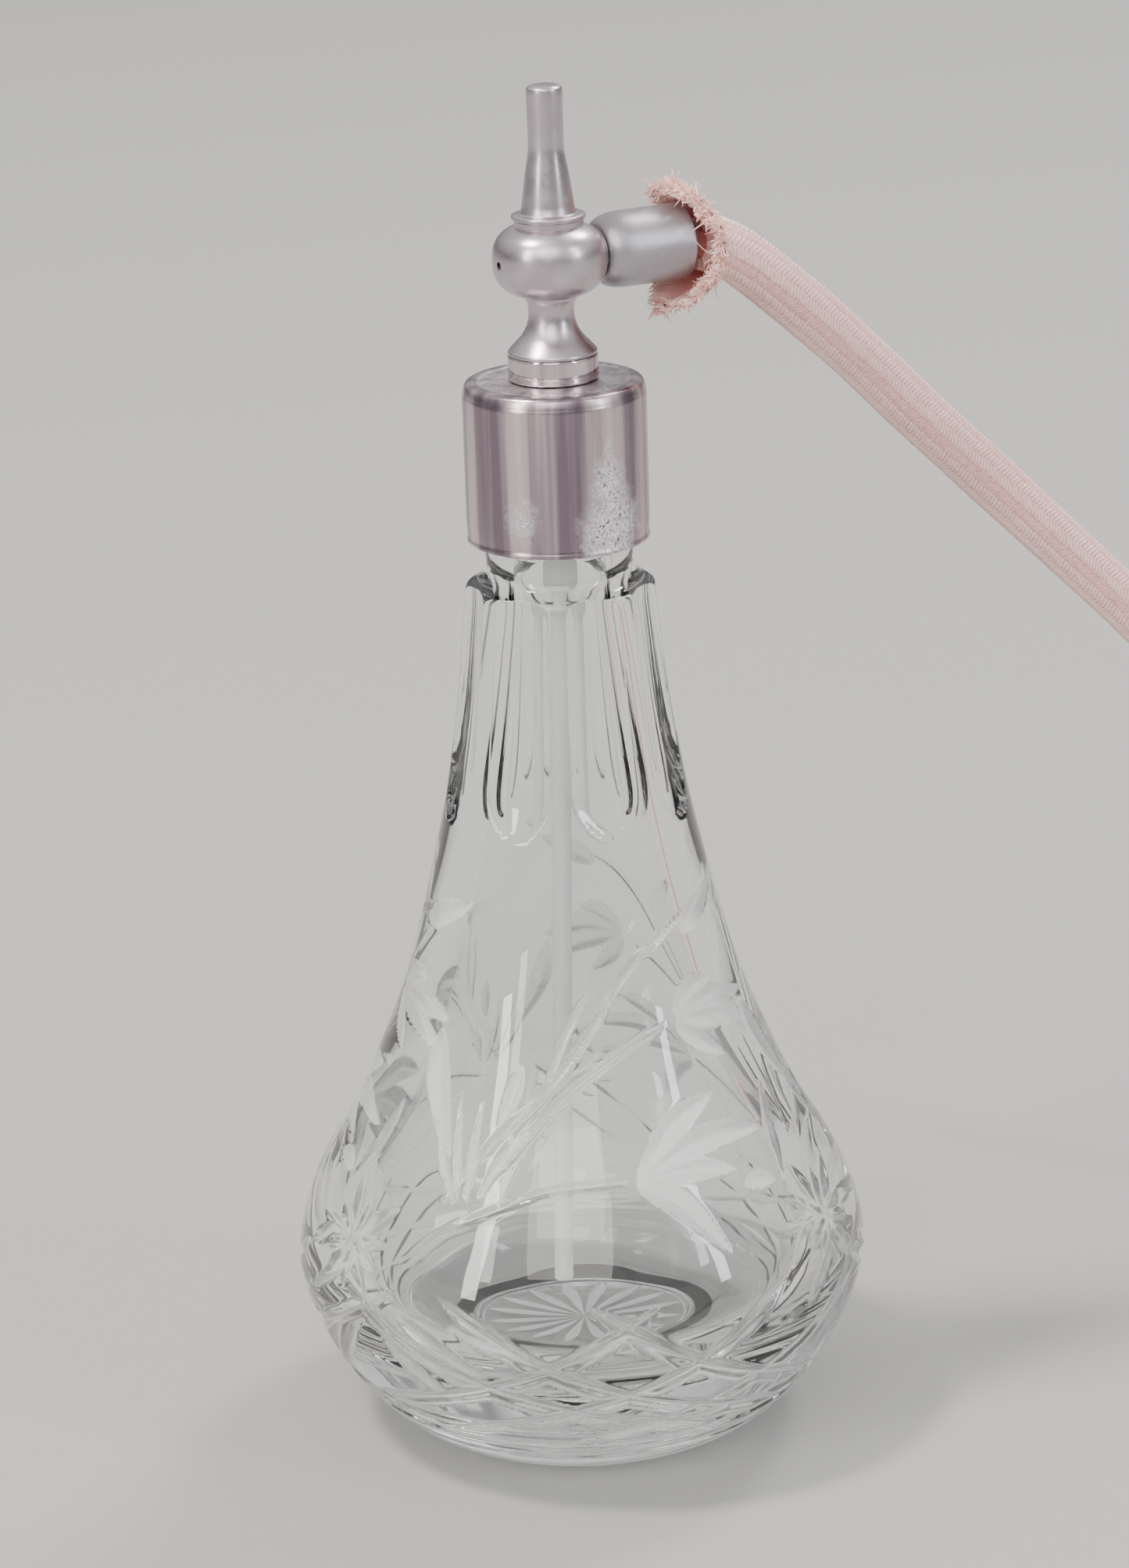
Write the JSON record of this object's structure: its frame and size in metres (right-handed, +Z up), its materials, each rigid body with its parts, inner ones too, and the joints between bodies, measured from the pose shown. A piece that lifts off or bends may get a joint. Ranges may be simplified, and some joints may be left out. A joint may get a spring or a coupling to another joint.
{
  "type": "perfume atomiser",
  "caption": "Cut-glass perfume bottle with a screw-on metal spray head, a dip tube and a braided hose to a squeeze bulb.",
  "frame": {"origin": "centre of the bottle's flat foot ring", "axes": "+Z up along the bottle's axis, +X along the head's barrel towards the hose; the spray leaves along -X"},
  "size_m": [0.194, 0.2697, 0.1676],
  "materials": {
    "glass": "polished cut crystal",
    "brass": "plain",
    "collar_chrome": "aged, pitted low on one side",
    "polished_nickel": "polished",
    "nickel": "worn satin",
    "satin_nickel": "satin",
    "washer_rubber": "matte",
    "clear_plastic": "translucent, milky",
    "hose_rubber": "matte",
    "bulb_rubber": "matte",
    "braid": "tight herringbone braid, faded pink",
    "frayed_yarn": "loose yarn ends",
    "net": "fine crocheted net",
    "tassel_yarn": "silky twisted yarn",
    "steel": "polished"
  },
  "bodies": {
    "bottle": {"glass_bottle_lower": "glass", "glass_bottle_upper": "glass", "neck_ferrule": "brass"},
    "gasket": {"seal_washer": "washer_rubber"},
    "head": {"head_flange": "brass", "pedestal_ring": "polished_nickel", "pedestal_stem": "nickel", "ball_head": "nickel", "finial_spike": "nickel", "spray_nozzle": "nickel", "air_jet_tube": "brass", "barrel_connector": "satin_nickel", "hose_nipple": "brass", "dip_tube_plug": "clear_plastic", "dip_tube": "clear_plastic", "rubber_hose": "hose_rubber", "hose_braid": "braid", "frayed_braid_end": "frayed_yarn", "bulb_ferrule": "nickel", "bulb_lower_half": "bulb_rubber", "net_cover_lower": "net", "intake_valve_housing": "nickel", "tassel_binding": "tassel_yarn", "tassel_skirt": "tassel_yarn"},
    "collar": {"screw_collar": "collar_chrome"},
    "bulb_top": {"bulb_upper_half": "bulb_rubber", "net_cover_upper": "net"},
    "intake_ball": {"intake_valve_ball": "steel"}
  },
  "joints": [
    {"name": "head_lift", "type": "slide", "parent": "bottle", "child": "gasket", "axis": [0, 0, 1], "range_m": [0, 0.12]},
    {"name": "thread_rise", "type": "slide", "parent": "gasket", "child": "head", "axis": [0, 0, 1], "range_m": [0, 0.0046]},
    {"name": "collar_turn", "type": "hinge", "parent": "head", "child": "collar", "pos_m": [0, 0, 0.12], "axis": [0, 0, 1], "range_deg": [0, 1080]},
    {"name": "bulb_squeeze", "type": "slide", "parent": "head", "child": "bulb_top", "axis": [0, 0, -1], "range_m": [0, 0.01], "stiffness_N_per_m": 600, "deforming": ["bulb_upper_half", "net_cover_upper"]},
    {"name": "intake_valve", "type": "slide", "parent": "head", "child": "intake_ball", "axis": [0, 1, 0], "range_m": [0, 0.0008]}
  ],
  "couplings": [
    {"joint": "thread_rise", "follows": "collar_turn", "m_per_rad": 0.00023873}
  ]
}
